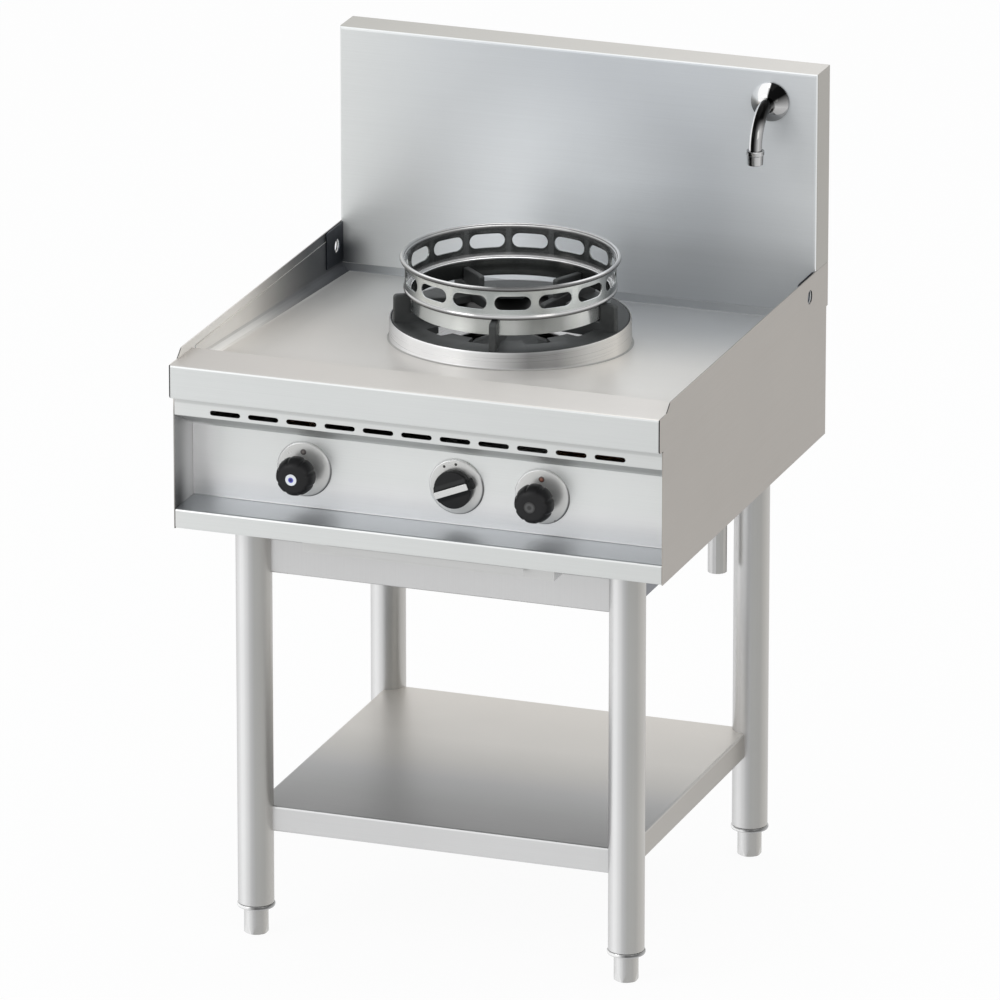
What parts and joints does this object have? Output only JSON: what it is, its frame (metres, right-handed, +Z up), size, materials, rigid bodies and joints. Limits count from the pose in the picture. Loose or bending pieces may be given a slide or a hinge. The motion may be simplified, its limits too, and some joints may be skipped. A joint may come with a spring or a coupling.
{
  "type": "wok range",
  "caption": "Freestanding wok range with a slotted wok ring, sloping deck, recessed tap and gas controls, splashback with water spout, pull-out drip tray and tube stand.",
  "frame": {"origin": "on the floor, at the middle of the bounding box", "axes": "+Z up, the front with the controls faces -Y, +X to the right seen from the front"},
  "size_m": [0.7, 0.708, 1.1365],
  "materials": {
    "steel": "satin brushed sheet",
    "tube": "satin ground tube",
    "bright": "bright polished",
    "iron": "dark seasoned casting",
    "brass": "machined",
    "copper": null,
    "knob": "black moulded",
    "cap_light": "pale cap",
    "cap_dark": "dark cap"
  },
  "bodies": {
    "range": {"frame_front": "tube", "frame_rear": "tube", "rail_left": "tube", "rail_right": "tube", "floor_panel": "tube", "rear_panel": "tube", "splash_cover": "tube", "splash_tab_left": "tube", "splash_tab_right": "tube", "burner_bracket": "tube", "drain_pipe": "tube", "drain_elbow": "tube", "tray_runner_left": "tube", "tray_runner_right": "tube", "foot_insert_front_left": "bright", "foot_insert_front_right": "bright", "foot_insert_rear_left": "bright", "foot_insert_rear_right": "bright", "bezel_left": "bright", "bezel_gas": "bright", "bezel_right": "bright", "rosette": "bright", "spout": "bright", "nozzle": "bright", "drain_strainer": "bright", "shelf": "steel", "side_left": "steel", "side_right": "steel", "fascia": "steel", "worktop": "steel", "splash_shell": "steel", "burner_collar": "steel", "burner_body": "iron", "burner_head": "brass", "injector": "brass", "pilot": "brass", "water_valve_left": "brass", "water_valve_right": "brass", "gas_valve": "brass", "water_pipe": "copper", "gas_inlet_pipe": "copper", "gas_feed_pipe": "copper", "spout_riser": "copper", "cooling_pipe": "copper"},
    "foot_front_left": {"foot_front_left": "bright"},
    "foot_front_right": {"foot_front_right": "bright"},
    "foot_rear_left": {"foot_rear_left": "bright"},
    "foot_rear_right": {"foot_rear_right": "bright"},
    "pan_support": {"trivet": "iron"},
    "ring": {"wok_ring": "bright"},
    "tap_left": {"water_knob_left": "knob", "water_spindle_left": "brass", "knob_cap_left": "cap_light"},
    "tap_right": {"water_knob_right": "knob", "water_spindle_right": "brass", "knob_cap_right": "cap_dark"},
    "gas_stem": {"gas_spindle": "brass"},
    "gas_control": {"gas_knob": "knob", "knob_bar": "bright"},
    "tray": {"drip_tray": "steel"}
  },
  "joints": [
    {"name": "foot_front_left_height", "type": "slide", "parent": "range", "child": "foot_front_left", "axis": [0, 0, -1], "range_m": [0, 0.025]},
    {"name": "foot_front_right_height", "type": "slide", "parent": "range", "child": "foot_front_right", "axis": [0, 0, -1], "range_m": [0, 0.025]},
    {"name": "foot_rear_left_height", "type": "slide", "parent": "range", "child": "foot_rear_left", "axis": [0, 0, -1], "range_m": [0, 0.025]},
    {"name": "foot_rear_right_height", "type": "slide", "parent": "range", "child": "foot_rear_right", "axis": [0, 0, -1], "range_m": [0, 0.025]},
    {"name": "pan_support_lift", "type": "slide", "parent": "range", "child": "pan_support", "axis": [0, 0, 1], "range_m": [0, 0.1]},
    {"name": "ring_lift", "type": "slide", "parent": "pan_support", "child": "ring", "axis": [0, 0, 1], "range_m": [0, 0.15]},
    {"name": "tap_left_turn", "type": "hinge", "parent": "range", "child": "tap_left", "pos_m": [-0.1863, -0.2723, 0.6873], "axis": [0, -1, 0], "range_deg": [0, 540]},
    {"name": "tap_right_turn", "type": "hinge", "parent": "range", "child": "tap_right", "pos_m": [0.1556, -0.2723, 0.6873], "axis": [0, -1, 0], "range_deg": [0, 540]},
    {"name": "gas_push", "type": "slide", "parent": "range", "child": "gas_stem", "axis": [0, 1, 0], "range_m": [0, 0.0038], "stiffness_N_per_m": 1500, "springref_m": -0.002},
    {"name": "gas_turn", "type": "hinge", "parent": "gas_stem", "child": "gas_control", "pos_m": [0.033, -0.2723, 0.6873], "axis": [0, -1, 0], "range_deg": [0, 90]},
    {"name": "tray_pull", "type": "slide", "parent": "range", "child": "tray", "axis": [0, -1, 0], "range_m": [0, 0.25]}
  ]
}
